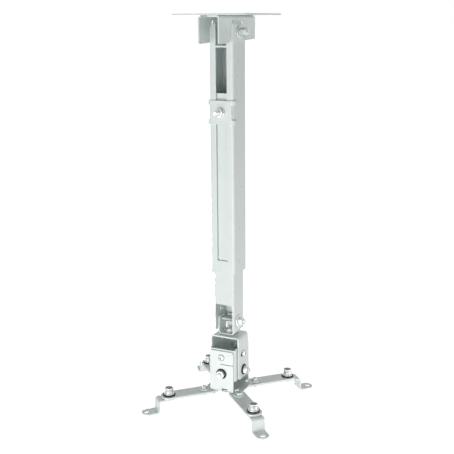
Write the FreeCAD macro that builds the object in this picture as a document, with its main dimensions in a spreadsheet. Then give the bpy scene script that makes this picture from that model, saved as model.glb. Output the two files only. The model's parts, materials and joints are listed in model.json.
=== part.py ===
"""Ceiling mount for a video projector: plate, telescopic square mast, two-axis head and four arms.

Origin: centre of the ceiling plate's top face. +Z up, +X to the right along the mast's slotted
front face, +Y to the back, so the slotted face looks along -Y. Millimetres.
"""
import FreeCAD, Part
import os

import Sketcher

DRIVING_SIZES = {
    # Ceiling plate and the folded yoke under it
    "plate_side": 100.0,
    "plate_gauge": 2.0,
    "plate_corner": 6.0,
    "ceiling_slot_spacing": 76.0,
    "ceiling_slot_width": 7.0,
    "ceiling_slot_length": 14.0,
    "yoke_length": 92.0,
    "yoke_drop": 33.0,
    "yoke_gauge": 2.0,
    "yoke_back_rise": 4.5,
    "yoke_corner": 1.5,
    "yoke_play": 0.6,
    "yoke_notch_width": 10.0,
    "yoke_notch_top": 7.4,
    "yoke_notch_flat": 3.9,
    "yoke_notch_shoulder": 16.5,
    "yoke_web_relief": 14.0,
    "fold_radius": 2.0,
    "pivot_drop": 22.0,
    # Outer and inner square tubes
    "outer_width": 33.0,
    "outer_wall": 1.6,
    "outer_corner": 2.6,
    "outer_top": 11.2,
    "outer_length": 309.8,
    "mast_slot_width": 15.0,
    "mast_slot_land": 16.0,
    "mast_notch_depth": 26.0,
    "mast_bridge": 2.2,
    "slide_play": 0.8,
    "inner_wall": 2.0,
    "inner_corner": 2.4,
    "inner_offset": 82.8,
    "inner_length": 306.0,
    "window_height": 35.5,
    "rear_cutout_height": 3.0,
    "sight_hole": 5.0,
    "sight_hole_drop": 11.0,
    # Clamp that locks the inner tube in the outer one
    "clamp_drop": 23.0,
    "collar_height": 29.0,
    "collar_gauge": 2.0,
    "collar_play": 0.2,
    "collar_waist": 30.2,
    "collar_tab_height": 5.5,
    "collar_tab_depth": 7.0,
    "clamp_head_side": 12.0,
    "clamp_head_height": 4.0,
    "clamp_washer": 11.5,
    "clamp_stud_tail": 9.0,
    # Knuckle at the foot of the inner tube
    "cross_height": 12.0,
    "cross_washer": 18.0,
    "cross_tail": 3.0,
    "knuckle_play": 0.35,
    "knuckle_gauge": 2.0,
    "knuckle_depth": 18.0,
    "knuckle_rise": 5.5,
    "knuckle_crown": 3.0,
    "knuckle_back_rise": 5.0,
    "knuckle_drop": 19.0,
    "knuckle_fold": 3.0,
    "seat_play": 0.2,
    # Two-axis head, as it stands turned on its swivel
    "head_turn": 4.1,
    "head_width": 40.0,
    "head_depth": 30.0,
    "head_gauge": 2.0,
    "head_drop": 47.8,
    "head_lip": 11.0,
    "head_corner": 6.0,
    "gimbal_play": 0.35,
    "gimbal_wall": 2.0,
    "gimbal_corner": 3.0,
    "gimbal_rise": 33.0,
    "gimbal_fall": 10.0,
    "guide_radius": 22.5,
    "guide_swing": 12.0,
    "guide_slot_width": 5.6,
    # Hub bracket that carries the arms
    "hub_side": 51.0,
    "hub_gauge": 2.0,
    "hub_drop": 24.0,
    "hub_cheek_width": 33.0,
    "hub_cheek_rise": 31.0,
    "hub_cheek_corner": 3.0,
    "ear_radius": 7.5,
    "fold_window_width": 8.0,
    "fold_window_shift": 4.0,
    "fold_window_lip": 0.5,
    "fold_window_height": 5.5,
    "slit_rise": 13.0,
    "slit_width": 1.0,
    "slit_start": 2.0,
    "lock_inset": 9.5,
    # Arms and feet
    "arm_width": 21.0,
    "arm_gauge": 2.5,
    "arm_reach": 48.0,
    "arm_tail": 19.5,
    "arm_nose": 10.5,
    "arm_corner": 9.0,
    "arm_swing": 15.0,
    "lock_slot_width": 5.4,
    "foot_gauge": 2.0,
    "foot_width": 17.0,
    "foot_heel": 9.0,
    "foot_shank": 17.0,
    "foot_drop": 16.0,
    "foot_tab": 20.0,
    "foot_corner": 8.0,
    "foot_hole": 7.0,
    "foot_hole_reach": 31.0,
    # Cap nuts on the arms' ends
    "cap_width": 11.0,
    "cap_height": 7.0,
    "cap_flange_width": 14.0,
    "cap_flange_height": 1.2,
    "cap_socket_width": 8.6,
    "cap_socket_depth": 4.2,
    "cap_recess": 3.9,
    "pad_width": 16.0,
    "pad_height": 2.0,
    # Fasteners: nominal diameters with their heads, nuts and washers
    "heavy_bolt": 6.0,
    "heavy_across": 10.0,
    "heavy_height": 5.0,
    "heavy_nut_height": 10.0,
    "heavy_washer": 16.0,
    "heavy_tail": 1.2,
    "light_bolt": 6.0,
    "light_across": 10.0,
    "light_height": 4.6,
    "light_washer": 14.0,
    "gimbal_tail": 3.0,
    "small_bolt": 5.0,
    "small_head": 9.0,
    "small_head_height": 2.8,
    "small_across": 8.0,
    "small_height": 3.6,
    "washer_gauge": 1.4,
    "bolt_tail": 1.5,
    "thread_play": 0.05,
    "hole_play": 0.25,
}

doc = FreeCAD.newDocument("ProjectorMount")
sheet = doc.addObject("Spreadsheet::Sheet", "Dim")
for row, (alias, size) in enumerate(DRIVING_SIZES.items(), start=1):
    sheet.set("A%d" % row, alias)
    sheet.set("B%d" % row, str(size))
    sheet.setAlias("B%d" % row, alias)
doc.recompute()

# Derived levels, each chained from the piece above it, and widths that follow from fits
YOKE_HALF = "(Dim.outer_width / 2 - Dim.outer_wall - Dim.yoke_play)"
YOKE_TOP = "(-Dim.plate_gauge)"
YOKE_FOOT = "(-Dim.plate_gauge - Dim.yoke_drop)"
PIVOT_LEVEL = "(-Dim.pivot_drop)"
OUTER_HALF = "(Dim.outer_width / 2)"
WALL_MIDDLE = "(Dim.outer_width / 2 - Dim.outer_wall / 2)"
OUTER_TOP = "(-Dim.outer_top)"
OUTER_FOOT = "(-Dim.outer_top - Dim.outer_length)"
INNER_HALF = "(Dim.outer_width / 2 - Dim.outer_wall - Dim.slide_play)"
INNER_TOP = "(-Dim.outer_top - Dim.inner_offset)"
INNER_FOOT = "(-Dim.outer_top - Dim.inner_offset - Dim.inner_length)"
CLAMP_LEVEL = "(-Dim.outer_top - Dim.inner_offset - Dim.clamp_drop)"
COLLAR_BACK = "(Dim.outer_width / 2 + Dim.collar_play)"
COLLAR_FRONT = "(Dim.outer_width / 2 + Dim.collar_play + Dim.collar_gauge)"
CROSS_LEVEL = "(" + INNER_FOOT + " + Dim.cross_height)"
KNUCKLE_HALF = "(" + INNER_HALF + " - Dim.inner_wall - Dim.knuckle_play)"
KNUCKLE_WEB = "(" + CROSS_LEVEL + " - Dim.knuckle_drop)"
HEAD_TOP = "(" + KNUCKLE_WEB + " - Dim.seat_play)"
HEAD_HALF = "(Dim.head_width / 2)"
GIMBAL_LEVEL = "(" + HEAD_TOP + " - Dim.head_drop)"
GIMBAL_HALF_X = "(Dim.head_width / 2 - Dim.head_gauge - Dim.gimbal_play)"
GIMBAL_HALF_Y = "(Dim.hub_side / 2 - Dim.hub_gauge - Dim.gimbal_play)"
HUB_HALF = "(Dim.hub_side / 2)"
HUB_TOP = "(" + GIMBAL_LEVEL + " - Dim.hub_drop)"
HUB_FOOT = "(" + HUB_TOP + " - Dim.hub_gauge)"
ARM_TOP = "(" + HUB_FOOT + " - Dim.seat_play)"
ARM_FOOT = "(" + ARM_TOP + " - Dim.arm_gauge)"
FOOT_TOP = "(" + ARM_FOOT + " - Dim.seat_play)"
LOCK_PLACE = "(Dim.hub_side / 2 - Dim.lock_inset)"
HEAD_TURN = "(Dim.head_turn * 1 deg)"

ARM_ANGLES = {"front_left": 225, "front_right": 315, "rear_right": 45, "rear_left": 135}
PICK_TOLERANCE = 0.01
ALIGNED = 0.999
OVERRUN = "2"

X_AXIS = FreeCAD.Vector(1, 0, 0)
Y_AXIS = FreeCAD.Vector(0, 1, 0)
Z_AXIS = FreeCAD.Vector(0, 0, 1)
POINTS_RIGHT = FreeCAD.Rotation(Y_AXIS, 90)
POINTS_LEFT = FreeCAD.Rotation(Y_AXIS, -90)
POINTS_FRONT = FreeCAD.Rotation(X_AXIS, 90)
POINTS_BACK = FreeCAD.Rotation(X_AXIS, -90)
POINTS_UP = FreeCAD.Rotation(Z_AXIS, 0)
POINTS_DOWN = FreeCAD.Rotation(X_AXIS, 180)

nodes = []


def amount(expression):
    """The number that an expression on the sheet comes to."""
    return float(sheet.evalExpression(expression))


def keep(label, piece):
    """Note a finished sub-part under the name of its file."""
    piece.Label = label
    nodes.append(piece)
    return piece


def new_body(name):
    return doc.addObject("PartDesign::Body", name + "_body")


def new_sketch(body, role, offset):
    """A sketch on one of the body's origin planes, shifted by three expressions in the plane's axes."""
    sketch = body.newObject("Sketcher::SketchObject", body.Name + "_sketch")
    plane = [item for item in body.Origin.OriginFeatures if item.Role == role][0]
    sketch.AttachmentSupport = (plane, [""])
    sketch.MapMode = "FlatFace"
    for axis, expression in zip("xyz", offset):
        if expression != "0":
            sketch.setExpression("AttachmentOffset.Base." + axis, expression)
    return sketch


def fix_point(sketch, geometry, position, x, y):
    """Tie one point of a sketch to the sheet, or to an axis where its coordinate is nought."""
    for kind, expression, axis in (("DistanceX", x, -2), ("DistanceY", y, -1)):
        size = amount(expression)
        if abs(size) < PICK_TOLERANCE:
            sketch.addConstraint(Sketcher.Constraint("PointOnObject", geometry, position, axis))
            continue
        number = sketch.addConstraint(Sketcher.Constraint(kind, -1, 1, geometry, position, size))
        sketch.setExpression("Constraints[%d]" % number, expression)


def polygon(body, role, corners, offset=("0", "0", "0")):
    """A closed outline through corners given as pairs of expressions."""
    sketch = new_sketch(body, role, offset)
    spots = [FreeCAD.Vector(amount(x), amount(y), 0) for x, y in corners]
    count = len(spots)
    for index in range(count):
        sketch.addGeometry(Part.LineSegment(spots[index], spots[(index + 1) % count]))
    for index in range(count):
        sketch.addConstraint(Sketcher.Constraint("Coincident", index, 2, (index + 1) % count, 1))
    for index, (x, y) in enumerate(corners):
        fix_point(sketch, index, 1, x, y)
    return sketch


def rectangle(body, role, left, right, low, high, offset=("0", "0", "0")):
    return polygon(body, role, [(left, low), (right, low), (right, high), (left, high)], offset)


def circles(body, role, centres, diameter, offset=("0", "0", "0")):
    """Circles of one diameter at centres given as pairs of expressions."""
    sketch = new_sketch(body, role, offset)
    for index, (x, y) in enumerate(centres):
        centre = FreeCAD.Vector(amount(x), amount(y), 0)
        sketch.addGeometry(Part.Circle(centre, Z_AXIS, amount(diameter) / 2))
        fix_point(sketch, index, 3, x, y)
        number = sketch.addConstraint(Sketcher.Constraint("Diameter", index, amount(diameter)))
        sketch.setExpression("Constraints[%d]" % number, diameter)
    return sketch


def extrude(body, kind, sketch, length):
    """A Pad or Pocket that runs to both sides of its sketch."""
    feature = body.newObject("PartDesign::" + kind, body.Name + "_" + kind)
    feature.Profile = sketch
    feature.Midplane = True
    feature.setExpression("Length", length)
    doc.recompute()
    return feature


def pad(body, sketch, length):
    return extrude(body, "Pad", sketch, length)


def pocket(body, sketch, length):
    """A cut to both sides of its sketch, which has to take something away."""
    before = body.Shape.Volume
    feature = extrude(body, "Pocket", sketch, length)
    if not body.Shape.Volume < before - PICK_TOLERANCE:
        raise RuntimeError("A cut in %s takes nothing away" % body.Name)
    return feature


def arc_groove(body, sketch, axis, angle):
    """An arc-shaped cut: a section swung about one of its sketch's own axes, to both sides."""
    before = body.Shape.Volume
    groove = body.newObject("PartDesign::Groove", body.Name + "_Groove")
    groove.Profile = sketch
    groove.ReferenceAxis = (sketch, [axis])
    groove.Midplane = True
    groove.setExpression("Angle", angle)
    doc.recompute()
    if not body.Shape.Volume < before - PICK_TOLERANCE:
        raise RuntimeError("A groove in %s takes nothing away" % body.Name)
    return groove


def straight_edges(shape, axis, spots):
    """Names of the edges along an axis that stand at the given places across it."""
    along = "XYZ".index(axis)
    across = [index for index in range(3) if index != along]
    wanted = [(amount(first), amount(second)) for first, second in spots]
    names = []
    for number, edge in enumerate(shape.Edges, start=1):
        if edge.Curve.TypeId != "Part::GeomLine" or abs(edge.Curve.Direction[along]) < ALIGNED:
            continue
        middle = edge.CenterOfMass
        for first, second in wanted:
            near = abs(middle[across[0]] - first) < PICK_TOLERANCE
            if near and abs(middle[across[1]] - second) < PICK_TOLERANCE:
                names.append("Edge%d" % number)
    return names


def fillet(body, axis, spots, radius):
    """Round the edges along an axis at the given places."""
    base = body.Tip
    names = straight_edges(base.Shape, axis, spots)
    if len(names) < len(spots):
        raise RuntimeError("An edge to round in %s wasn't found" % body.Name)
    feature = body.newObject("PartDesign::Fillet", body.Name + "_Fillet")
    feature.Base = (base, names)
    feature.setExpression("Radius", radius)
    doc.recompute()
    return feature


def hollow(body, wall):
    """Turn a solid bar that stands along Z into a tube, open at both ends."""
    base = body.Tip
    ends = []
    for number, face in enumerate(base.Shape.Faces, start=1):
        if face.Surface.TypeId == "Part::GeomPlane" and abs(face.normalAt(0, 0).z) > ALIGNED:
            ends.append("Face%d" % number)
    shell = body.newObject("PartDesign::Thickness", body.Name + "_Thickness")
    shell.Base = (base, ends)
    shell.Reversed = True
    shell.setExpression("Value", wall)
    doc.recompute()
    return shell


def square_tube(name, half_x, half_y, top, foot, corner, wall):
    """A drawn tube along Z with rounded corners."""
    body = new_body(name)
    middle = "((%s + %s) / 2)" % (top, foot)
    outline = rectangle(body, "XY_Plane", "-" + half_x, half_x, "-" + half_y, half_y, ("0", "0", middle))
    pad(body, outline, "%s - %s" % (top, foot))
    corners = [(sign_x + half_x, sign_y + half_y) for sign_x in ("-", "") for sign_y in ("-", "")]
    fillet(body, "Z", corners, corner)
    hollow(body, wall)
    return body


def channel(name, role, half, web, lip, inner_web, gauge, length, bend):
    """A strip folded to a U: its section in XZ or YZ, run along the third axis."""
    body = new_body(name)
    inner = "(%s - %s)" % (half, gauge)
    section = [("-" + half, lip), ("-" + half, web), (half, web), (half, lip),
               (inner, lip), (inner, inner_web), ("-" + inner, inner_web), ("-" + inner, lip)]
    pad(body, polygon(body, role, section), length)
    run = "Y" if role == "XZ_Plane" else "X"
    fillet(body, run, [("-" + half, web), (half, web)], "%s + %s" % (bend, gauge))
    fillet(body, run, [("-" + inner, inner_web), (inner, inner_web)], bend)
    return body


def cylinder(radius, height, base="0"):
    """A round bar along Z from a base level."""
    bar = doc.addObject("Part::Cylinder", "bar")
    bar.setExpression("Radius", radius)
    bar.setExpression("Height", height)
    if base != "0":
        bar.setExpression("Placement.Base.z", base)
    return bar


def hexagon(across, height, base="0"):
    """A hexagonal bar along Z, sized across its flats."""
    bar = doc.addObject("Part::Prism", "hexagon")
    bar.Polygon = 6
    bar.setExpression("Circumradius", "%s / 2 / cos(30 deg)" % across)
    bar.setExpression("Height", height)
    if base != "0":
        bar.setExpression("Placement.Base.z", base)
    return bar


def joined(pieces):
    union = doc.addObject("Part::MultiFuse", "joined")
    union.Shapes = pieces
    return union


def bored(piece, bore):
    cut = doc.addObject("Part::Cut", "bored")
    cut.Base = piece
    cut.Tool = bore
    return cut


def placed(piece, x, y, z, turn):
    """Put a piece that was made along Z in its place, with its own +Z turned as given."""
    piece.Placement = FreeCAD.Placement(FreeCAD.Vector(), turn)
    for axis, expression in zip("xyz", (x, y, z)):
        if expression != "0":
            piece.setExpression("Placement.Base." + axis, expression)
    return piece


def on_head(piece, x, y, z, turn):
    """Put a piece of the head in its place, turned about the swivel as the head stands."""
    spin = FreeCAD.Rotation(Z_AXIS, amount("Dim.head_turn"))
    right = "(%s) * cos(%s) - (%s) * sin(%s)" % (x, HEAD_TURN, y, HEAD_TURN)
    back = "(%s) * sin(%s) + (%s) * cos(%s)" % (x, HEAD_TURN, y, HEAD_TURN)
    return placed(piece, right, back, z, spin * turn)


def group(label, pieces):
    """Like pieces that share one file as separate solids."""
    bundle = doc.addObject("Part::Compound", label + "_group")
    bundle.Links = pieces
    return keep(label, bundle)


def hex_bolt(diameter, across, head, grip):
    """A bolt whose head sits below its seat at level nought and whose shank rises through the grip."""
    return joined([hexagon(across, head, "-" + head), cylinder(diameter + " / 2", grip)])


def pan_bolt(diameter, width, head, grip):
    """A bolt with a low round head below its seat."""
    return joined([cylinder(width + " / 2", head, "-" + head), cylinder(diameter + " / 2", grip)])


def hex_nut(diameter, across, height):
    bore = cylinder("%s / 2 + Dim.thread_play" % diameter, height)
    return bored(hexagon(across, height), bore)


def washer(diameter, width, height):
    bore = cylinder("%s / 2 + Dim.hole_play" % diameter, height)
    return bored(cylinder(width + " / 2", height), bore)


def ceiling_plate():
    body = new_body("ceiling_plate")
    half = "Dim.plate_side / 2"
    level = ("0", "0", "-Dim.plate_gauge / 2")
    pad(body, rectangle(body, "XY_Plane", "-" + half, half, "-" + half, half, level), "Dim.plate_gauge")
    corners = [(sign_x + half, sign_y + half) for sign_x in ("-", "") for sign_y in ("-", "")]
    fillet(body, "Z", corners, "Dim.plate_corner")
    reach = "Dim.ceiling_slot_spacing / 2"
    run = "(Dim.ceiling_slot_length - Dim.ceiling_slot_width) / 2"
    width = "Dim.ceiling_slot_width / 2"
    for sign_x in ("-", ""):
        for sign_y in ("-", ""):
            place = (sign_x + reach, sign_y + reach, "-Dim.plate_gauge / 2")
            slot = rectangle(body, "XY_Plane", "-" + run, run, "-" + width, width, place)
            pocket(body, slot, "Dim.plate_gauge")
            for sign_end in ("-", ""):
                end = circles(body, "XY_Plane", [(sign_end + run, "0")], "Dim.ceiling_slot_width", place)
                pocket(body, end, "Dim.plate_gauge")
    return keep("ceiling_plate", body)


def ceiling_yoke():
    """Folded channel under the plate. Its cheeks hang inside the mast's side walls, and open
    notches let the mast's front and back walls pass and swing."""
    inner_web = "(%s - Dim.yoke_gauge)" % YOKE_TOP
    body = channel("ceiling_yoke", "XZ_Plane", YOKE_HALF, YOKE_TOP, YOKE_FOOT, inner_web,
                   "Dim.yoke_gauge", "Dim.yoke_length", "Dim.fold_radius")
    across = "Dim.outer_width"
    below = YOKE_FOOT + " - " + OVERRUN
    outer = "(%s + Dim.yoke_notch_width / 2)" % WALL_MIDDLE
    inner = "(%s - Dim.yoke_notch_width / 2)" % WALL_MIDDLE
    crest = "(%s + Dim.yoke_notch_flat)" % inner
    half = "(Dim.yoke_length / 2)"
    lips = "(%s - Dim.yoke_gauge - Dim.fold_radius)" % YOKE_HALF
    web = ("0", "0", "(%s - Dim.yoke_gauge / 2)" % YOKE_TOP)
    for side in ("-", ""):
        notch = [(side + outer, below), (side + outer, "-Dim.yoke_notch_shoulder"),
                 (side + crest, "-Dim.yoke_notch_top"), (side + inner, "-Dim.yoke_notch_top"),
                 (side + inner, below)]
        pocket(body, polygon(body, "YZ_Plane", notch), across)
        near = side + "(%s - Dim.yoke_web_relief)" % half
        far = side + "(%s + %s)" % (half, OVERRUN)
        relief = rectangle(body, "XY_Plane", "-" + lips, lips, near, far, web)
        pocket(body, relief, "2 * Dim.yoke_gauge")
    back_foot = "(%s + Dim.yoke_back_rise)" % YOKE_FOOT
    slope = [("-" + half, YOKE_FOOT), (half, back_foot), (half, below), ("-" + half, below)]
    pocket(body, polygon(body, "YZ_Plane", slope), across)
    hole = circles(body, "YZ_Plane", [("0", PIVOT_LEVEL)], "Dim.heavy_bolt + 2 * Dim.hole_play")
    pocket(body, hole, across)
    cheek = "(%s - Dim.yoke_gauge / 2)" % YOKE_HALF
    for side in ("-", ""):
        for end in (("-" + half, YOKE_FOOT), (half, back_foot)):
            round_cheek_corner(body, side + cheek, [end])
    return keep("ceiling_yoke", body)


def round_cheek_corner(body, middle, spots):
    """Round the free corner of one cheek: the edge along X at the given place nearest its middle."""
    base = body.Tip
    shape = base.Shape
    named = []
    for name in straight_edges(shape, "X", spots):
        edge = shape.getElement(name)
        if abs(edge.CenterOfMass.x - amount(middle)) < PICK_TOLERANCE:
            named.append(name)
    feature = body.newObject("PartDesign::Fillet", body.Name + "_Fillet")
    feature.Base = (base, named)
    feature.setExpression("Radius", "Dim.yoke_corner")
    doc.recompute()


def outer_tube():
    body = square_tube("outer_tube", OUTER_HALF, OUTER_HALF, OUTER_TOP, OUTER_FOOT,
                       "Dim.outer_corner", "Dim.outer_wall")
    half = "Dim.mast_slot_width / 2"
    front = ("0", "0", WALL_MIDDLE)
    foot = "(%s + Dim.mast_slot_land)" % OUTER_FOOT
    notch_foot = "(%s - Dim.mast_notch_depth)" % OUTER_TOP
    slot_top = "(%s - Dim.mast_bridge)" % notch_foot
    for low, high in ((foot, slot_top), (notch_foot, OUTER_TOP + " + " + OVERRUN)):
        opening = rectangle(body, "XZ_Plane", "-" + half, half, low, high, front)
        pocket(body, opening, "2 * Dim.outer_wall")
    hole = circles(body, "YZ_Plane", [("0", PIVOT_LEVEL)], "Dim.heavy_bolt + 2 * Dim.hole_play")
    pocket(body, hole, "Dim.outer_width + " + OVERRUN)
    return keep("outer_tube", body)


def yoke_fasteners():
    """Bolt, washers and nut that pin the mast in the yoke."""
    seat = "(%s + Dim.washer_gauge)" % OUTER_HALF
    grip = "2 * %s + Dim.heavy_nut_height + Dim.heavy_tail" % seat
    bolt = hex_bolt("Dim.heavy_bolt", "Dim.heavy_across", "Dim.heavy_height", grip)
    keep("yoke_bolt", placed(bolt, "-" + seat, "0", PIVOT_LEVEL, POINTS_RIGHT))
    nut = hex_nut("Dim.heavy_bolt", "Dim.heavy_across", "Dim.heavy_nut_height")
    keep("yoke_nut", placed(nut, seat, "0", PIVOT_LEVEL, POINTS_RIGHT))
    rings = [washer("Dim.heavy_bolt", "Dim.heavy_washer", "Dim.washer_gauge") for side in range(2)]
    placed(rings[0], OUTER_HALF, "0", PIVOT_LEVEL, POINTS_RIGHT)
    placed(rings[1], "-" + OUTER_HALF, "0", PIVOT_LEVEL, POINTS_LEFT)
    group("yoke_washers", rings)


def inner_tube():
    body = square_tube("inner_tube", INNER_HALF, INNER_HALF, INNER_TOP, INNER_FOOT,
                       "Dim.inner_corner", "Dim.inner_wall")
    middle = "(%s - Dim.inner_wall / 2)" % INNER_HALF
    half = "(%s - Dim.inner_wall)" % INNER_HALF
    front = ("0", "0", middle)
    back = ("0", "0", "-" + middle)
    below = INNER_FOOT + " - " + OVERRUN
    depth = "2 * Dim.inner_wall"
    top = "(%s + Dim.window_height)" % INNER_FOOT
    pocket(body, rectangle(body, "XZ_Plane", "-" + half, half, below, top, front), depth)
    rear_top = "(%s + Dim.rear_cutout_height)" % INNER_FOOT
    pocket(body, rectangle(body, "XZ_Plane", "-" + half, half, below, rear_top, back), depth)
    stud = circles(body, "XZ_Plane", [("0", CLAMP_LEVEL)], "Dim.light_bolt + 2 * Dim.hole_play", front)
    pocket(body, stud, depth)
    cross = circles(body, "YZ_Plane", [("0", CROSS_LEVEL)], "Dim.light_bolt + 2 * Dim.hole_play")
    pocket(body, cross, "Dim.outer_width")
    sight = "(%s - Dim.sight_hole_drop)" % top
    side = ("0", "0", "-" + middle)
    pocket(body, circles(body, "YZ_Plane", [("0", sight)], "Dim.sight_hole", side), depth)
    return keep("inner_tube", body)


def clamp_collar():
    """Pressed plate on the slotted face, with four tabs that hug the tube's sides."""
    body = new_body("clamp_collar")
    half = "Dim.collar_height / 2"
    high = "(%s + %s)" % (CLAMP_LEVEL, half)
    low = "(%s - %s)" % (CLAMP_LEVEL, half)
    back = "(%s - Dim.collar_tab_depth)" % OUTER_HALF
    section = [("-" + COLLAR_FRONT, "-" + COLLAR_FRONT), (COLLAR_FRONT, "-" + COLLAR_FRONT),
               (COLLAR_FRONT, "-" + back), (COLLAR_BACK, "-" + back),
               (COLLAR_BACK, "-" + COLLAR_BACK), ("-" + COLLAR_BACK, "-" + COLLAR_BACK),
               ("-" + COLLAR_BACK, "-" + back), ("-" + COLLAR_FRONT, "-" + back)]
    pad(body, polygon(body, "XY_Plane", section, ("0", "0", CLAMP_LEVEL)), "Dim.collar_height")
    bend = "Dim.outer_corner"
    fillet(body, "Z", [("-" + COLLAR_FRONT, "-" + COLLAR_FRONT), (COLLAR_FRONT, "-" + COLLAR_FRONT)],
           bend + " + Dim.collar_gauge")
    fillet(body, "Z", [("-" + COLLAR_BACK, "-" + COLLAR_BACK), (COLLAR_BACK, "-" + COLLAR_BACK)], bend)
    gap_low = "(%s + Dim.collar_tab_height)" % low
    gap_high = "(%s - Dim.collar_tab_height)" % high
    waist = "(Dim.collar_waist / 2)"
    reach = "(%s + %s)" % (COLLAR_FRONT, OVERRUN)
    for side in ("-", ""):
        gap = rectangle(body, "XZ_Plane", side + waist, side + reach, gap_low, gap_high)
        pocket(body, gap, "2 * " + reach)
    wall = ("0", "0", "(%s + Dim.collar_gauge / 2)" % COLLAR_BACK)
    hole = circles(body, "XZ_Plane", [("0", CLAMP_LEVEL)], "Dim.light_bolt + 2 * Dim.hole_play", wall)
    pocket(body, hole, "2 * Dim.collar_gauge")
    return keep("clamp_collar", body)


def clamp_fasteners():
    """Square-headed stud from inside the inner tube, with a washer and nut on the collar."""
    seat = "(%s - Dim.inner_wall)" % INNER_HALF
    nut_seat = "(%s + Dim.washer_gauge)" % COLLAR_FRONT
    grip = "(%s + Dim.light_height + Dim.clamp_stud_tail - %s)" % (nut_seat, seat)
    head = doc.addObject("Part::Box", "square_head")
    for length in ("Length", "Width"):
        head.setExpression(length, "Dim.clamp_head_side")
    head.setExpression("Height", "Dim.clamp_head_height")
    for axis in "xy":
        head.setExpression("Placement.Base." + axis, "-Dim.clamp_head_side / 2")
    head.setExpression("Placement.Base.z", "-Dim.clamp_head_height")
    stud = joined([head, cylinder("Dim.light_bolt / 2", grip)])
    keep("clamp_stud", placed(stud, "0", "-" + seat, CLAMP_LEVEL, POINTS_FRONT))
    ring = washer("Dim.light_bolt", "Dim.clamp_washer", "Dim.washer_gauge")
    keep("clamp_washer", placed(ring, "0", "-" + COLLAR_FRONT, CLAMP_LEVEL, POINTS_FRONT))
    nut = hex_nut("Dim.light_bolt", "Dim.light_across", "Dim.light_height")
    keep("clamp_nut", placed(nut, "0", "-" + nut_seat, CLAMP_LEVEL, POINTS_FRONT))


def knuckle():
    """Folded U in the foot of the inner tube, with a flap folded up at its back: tilts on the
    cross bolt and carries the swivel."""
    lip = "(%s + Dim.knuckle_rise)" % CROSS_LEVEL
    inner_web = "(%s + Dim.knuckle_gauge)" % KNUCKLE_WEB
    body = channel("knuckle", "XZ_Plane", KNUCKLE_HALF, KNUCKLE_WEB, lip, inner_web,
                   "Dim.knuckle_gauge", "Dim.knuckle_depth", "Dim.knuckle_fold")
    ends = ["%sDim.knuckle_depth / 2" % sign for sign in ("-", "")]
    fillet(body, "X", [(end, lip) for end in ends], "Dim.knuckle_crown")
    side = "(%s - Dim.knuckle_gauge - Dim.knuckle_fold)" % KNUCKLE_HALF
    back_top = "(%s + Dim.knuckle_back_rise)" % CROSS_LEVEL
    back = ("0", "0", "(Dim.knuckle_gauge / 2 - Dim.knuckle_depth / 2)")
    flap = rectangle(body, "XZ_Plane", "-" + side, side, KNUCKLE_WEB, back_top, back)
    pad(body, flap, "Dim.knuckle_gauge")
    cross = circles(body, "YZ_Plane", [("0", CROSS_LEVEL)], "Dim.light_bolt + 2 * Dim.hole_play")
    pocket(body, cross, "Dim.outer_width")
    level = ("0", "0", "(%s + Dim.knuckle_gauge / 2)" % KNUCKLE_WEB)
    swivel = circles(body, "XY_Plane", [("0", "0")], "Dim.light_bolt + 2 * Dim.hole_play", level)
    pocket(body, swivel, "2 * Dim.knuckle_gauge")
    return keep("knuckle", body)


def knuckle_fasteners():
    """Cross bolt through the inner tube, and the upright bolt that the head swivels on."""
    seat = "(%s + Dim.washer_gauge)" % INNER_HALF
    grip = "2 * %s + Dim.light_height + Dim.cross_tail" % seat
    bolt = hex_bolt("Dim.light_bolt", "Dim.light_across", "Dim.light_height", grip)
    keep("cross_bolt", placed(bolt, "-" + seat, "0", CROSS_LEVEL, POINTS_RIGHT))
    nut = hex_nut("Dim.light_bolt", "Dim.light_across", "Dim.light_height")
    keep("cross_nut", placed(nut, seat, "0", CROSS_LEVEL, POINTS_RIGHT))
    rings = [washer("Dim.light_bolt", "Dim.cross_washer", "Dim.washer_gauge") for side in range(2)]
    placed(rings[0], INNER_HALF, "0", CROSS_LEVEL, POINTS_RIGHT)
    placed(rings[1], "-" + INNER_HALF, "0", CROSS_LEVEL, POINTS_LEFT)
    group("cross_washers", rings)
    top = "(%s + Dim.knuckle_gauge)" % KNUCKLE_WEB
    under = "(%s - Dim.head_gauge - Dim.seat_play)" % HEAD_TOP
    grip = "(%s - %s + Dim.light_height + Dim.bolt_tail)" % (top, under)
    bolt = hex_bolt("Dim.light_bolt", "Dim.light_across", "Dim.light_height", grip)
    keep("swivel_bolt", placed(bolt, "0", "0", top, POINTS_DOWN))
    nut = hex_nut("Dim.light_bolt", "Dim.light_across", "Dim.light_height")
    keep("swivel_nut", placed(nut, "0", "0", under, POINTS_DOWN))


def head_yoke():
    """Inverted U on the swivel bolt. Arc slots in its cheeks limit the pitch."""
    lip = "(%s - Dim.head_lip)" % GIMBAL_LEVEL
    inner_web = "(%s - Dim.head_gauge)" % HEAD_TOP
    body = channel("head_yoke", "XZ_Plane", HEAD_HALF, HEAD_TOP, lip, inner_web,
                   "Dim.head_gauge", "Dim.head_depth", "Dim.fold_radius")
    ends = ["%sDim.head_depth / 2" % sign for sign in ("-", "")]
    fillet(body, "X", [(end, lip) for end in ends], "Dim.head_corner")
    level = ("0", "0", "(%s - Dim.head_gauge / 2)" % HEAD_TOP)
    swivel = circles(body, "XY_Plane", [("0", "0")], "Dim.light_bolt + 2 * Dim.hole_play", level)
    pocket(body, swivel, "2 * Dim.head_gauge")
    pitch = circles(body, "YZ_Plane", [("0", GIMBAL_LEVEL)], "Dim.light_bolt + 2 * Dim.hole_play")
    pocket(body, pitch, "Dim.head_width + " + OVERRUN)
    guide_slots(body, "XZ_Plane", HEAD_HALF)
    on_head(body, "0", "0", "0", POINTS_UP)
    return keep("head_yoke", body)


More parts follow.
